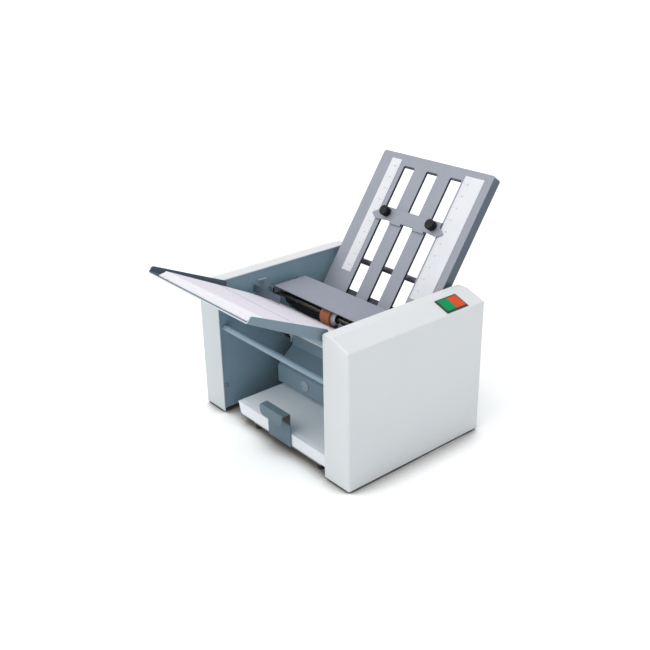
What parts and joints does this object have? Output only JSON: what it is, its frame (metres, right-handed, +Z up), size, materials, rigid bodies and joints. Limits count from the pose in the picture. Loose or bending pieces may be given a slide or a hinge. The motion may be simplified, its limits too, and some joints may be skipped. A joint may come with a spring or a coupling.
{
  "type": "paper folding machine",
  "caption": "Desktop buckle-plate letter folder: sheet feed tray in front, slotted fold plate with sliding stop behind, fold rollers and exit tray between two sheet-metal side covers.",
  "frame": {"origin": "bottom centre of the bounding box, on the table plane", "axes": "+Z up; -Y is the operator's side, where the feed tray reaches out; +X is the operator's right, the side with the switch"},
  "size_m": [0.36, 0.4806, 0.3821],
  "materials": {
    "cover_paint": "off-white fine texture paint",
    "panel_paint": "blue-grey paint",
    "plate_paint": "grey paint",
    "tray_paint": "blue-grey paint, bare bright cut edges",
    "zinc_steel": "zinc-plated",
    "dark_steel": "blackened",
    "bright_steel": "ground",
    "roller_rubber": "matte",
    "foot_rubber": "matte",
    "wheel_rubber": "matte red-brown",
    "belt_rubber": "matte",
    "black_plastic": "moulded",
    "grey_plastic": "moulded",
    "gear_plastic": "moulded acetal",
    "green_plastic": "moulded",
    "red_plastic": "moulded",
    "strip_plastic": "printed scale",
    "board_laminate": "circuit board",
    "bush_brass": "turned",
    "motor_paint": "dark paint",
    "white_paper": "office paper"
  },
  "bodies": {
    "frame": {"left_cover": "cover_paint", "right_cover": "cover_paint", "right_side_plate": "panel_paint", "left_side_plate": "panel_paint", "frame_screws": "zinc_steel", "rubber_feet": "foot_rubber", "cross_rods": "zinc_steel", "rest_rods": "dark_steel", "lower_cross_bar": "zinc_steel", "rear_channel": "panel_paint", "rear_cover": "panel_paint", "roller_cover": "plate_paint", "hanger_pins": "zinc_steel", "throat_guide": "dark_steel", "inlet_guides": "zinc_steel", "feed_tray": "tray_paint", "paper_stack": "white_paper", "fold_plate_front": "plate_paint", "fold_plate_back": "plate_paint", "scale_strips": "strip_plastic", "bushes": "bush_brass", "feed_belt": "belt_rubber", "drive_belt": "belt_rubber", "motor_bracket": "zinc_steel", "motor": "motor_paint", "control_board": "board_laminate", "power_inlet": "black_plastic", "separator_bar": "zinc_steel", "separator_spring": "bright_steel", "lower_fold_plate": "plate_paint", "exit_chute": "plate_paint", "chute_cap": "grey_plastic", "exit_slide": "zinc_steel", "exit_tray": "zinc_steel", "folded_stack": "white_paper", "switch_bezel": "black_plastic"},
    "fold_roller_2_body": {"fold_roller_2": "roller_rubber", "roller_gear_2": "gear_plastic", "drive_pulley": "black_plastic"},
    "fold_roller_1_body": {"fold_roller_1": "roller_rubber", "roller_gear_1": "gear_plastic", "roller_pulley": "black_plastic"},
    "fold_roller_3_body": {"fold_roller_3": "roller_rubber", "roller_gear_3": "gear_plastic"},
    "fold_roller_4_body": {"fold_roller_4": "roller_rubber", "roller_gear_4": "gear_plastic"},
    "feed_roller_body": {"feed_shaft": "bright_steel", "feed_wheel": "wheel_rubber", "feed_hub": "grey_plastic", "feed_pulley": "black_plastic"},
    "motor_rotor": {"motor_pulley": "bright_steel"},
    "separator": {"separator_arm": "zinc_steel", "separator_pad": "wheel_rubber"},
    "fold_stop_body": {"fold_stop": "zinc_steel"},
    "left_knob_body": {"left_knob": "black_plastic"},
    "right_knob_body": {"right_knob": "black_plastic"},
    "lower_stop_body": {"lower_stop": "zinc_steel"},
    "exit_stop_body": {"exit_stop": "panel_paint"},
    "green_button_body": {"green_button": "green_plastic"},
    "red_button_body": {"red_button": "red_plastic"}
  },
  "joints": [
    {"name": "roller_2_spin", "type": "hinge", "parent": "frame", "child": "fold_roller_2_body", "pos_m": [0, 0.06848, 0.12205], "axis": [1, 0, 0], "continuous": true},
    {"name": "roller_1_spin", "type": "hinge", "parent": "frame", "child": "fold_roller_1_body", "pos_m": [0, 0.04376, 0.13905], "axis": [1, 0, 0], "continuous": true},
    {"name": "roller_3_spin", "type": "hinge", "parent": "frame", "child": "fold_roller_3_body", "pos_m": [0, 0.09667, 0.13231], "axis": [1, 0, 0], "continuous": true},
    {"name": "roller_4_spin", "type": "hinge", "parent": "frame", "child": "fold_roller_4_body", "pos_m": [0, 0.06327, 0.09251], "axis": [1, 0, 0], "continuous": true},
    {"name": "feed_spin", "type": "hinge", "parent": "frame", "child": "feed_roller_body", "pos_m": [0, -0.00675, 0.1855], "axis": [1, 0, 0], "continuous": true},
    {"name": "motor_spin", "type": "hinge", "parent": "frame", "child": "motor_rotor", "pos_m": [0, -0.02775, 0.06374], "axis": [1, 0, 0], "continuous": true},
    {"name": "separator_tilt", "type": "hinge", "parent": "frame", "child": "separator", "pos_m": [0.01, 0.01626, 0.134], "axis": [1, 0, 0], "range_deg": [0, 4], "stiffness_Nm_per_rad": 1.5, "springref_deg": -4.58, "deforming": ["separator_spring"]},
    {"name": "fold_stop_slide", "type": "slide", "parent": "frame", "child": "fold_stop_body", "axis": [0, 0.5664, 0.8241], "range_m": [-0.1, 0.072]},
    {"name": "left_knob_turn", "type": "hinge", "parent": "fold_stop_body", "child": "left_knob_body", "pos_m": [-0.05, 0.16625, 0.29997], "axis": [0, -0.8241, 0.5664], "range_deg": [0, 360]},
    {"name": "right_knob_turn", "type": "hinge", "parent": "fold_stop_body", "child": "right_knob_body", "pos_m": [0.052, 0.16625, 0.29997], "axis": [0, -0.8241, 0.5664], "range_deg": [0, 360]},
    {"name": "lower_stop_slide", "type": "slide", "parent": "frame", "child": "lower_stop_body", "axis": [0, -0.342, 0.9397], "range_m": [-0.004, 0.05]},
    {"name": "exit_stop_slide", "type": "slide", "parent": "frame", "child": "exit_stop_body", "axis": [0, -1, 0], "range_m": [0, 0.06]},
    {"name": "green_button_press", "type": "slide", "parent": "frame", "child": "green_button_body", "axis": [-0.3451, 0, -0.9386], "range_m": [0, 0.0022], "stiffness_N_per_m": 500, "springref_m": -0.001},
    {"name": "red_button_press", "type": "slide", "parent": "frame", "child": "red_button_body", "axis": [-0.3451, 0, -0.9386], "range_m": [0, 0.0022], "stiffness_N_per_m": 500, "springref_m": -0.001}
  ],
  "couplings": [
    {"joint": "roller_1_spin", "follows": "roller_2_spin", "ratio": -1},
    {"joint": "roller_3_spin", "follows": "roller_2_spin", "ratio": -1},
    {"joint": "roller_4_spin", "follows": "roller_2_spin", "ratio": -1},
    {"joint": "feed_spin", "follows": "roller_2_spin", "ratio": -0.71429},
    {"joint": "motor_spin", "follows": "roller_2_spin", "ratio": 3}
  ]
}
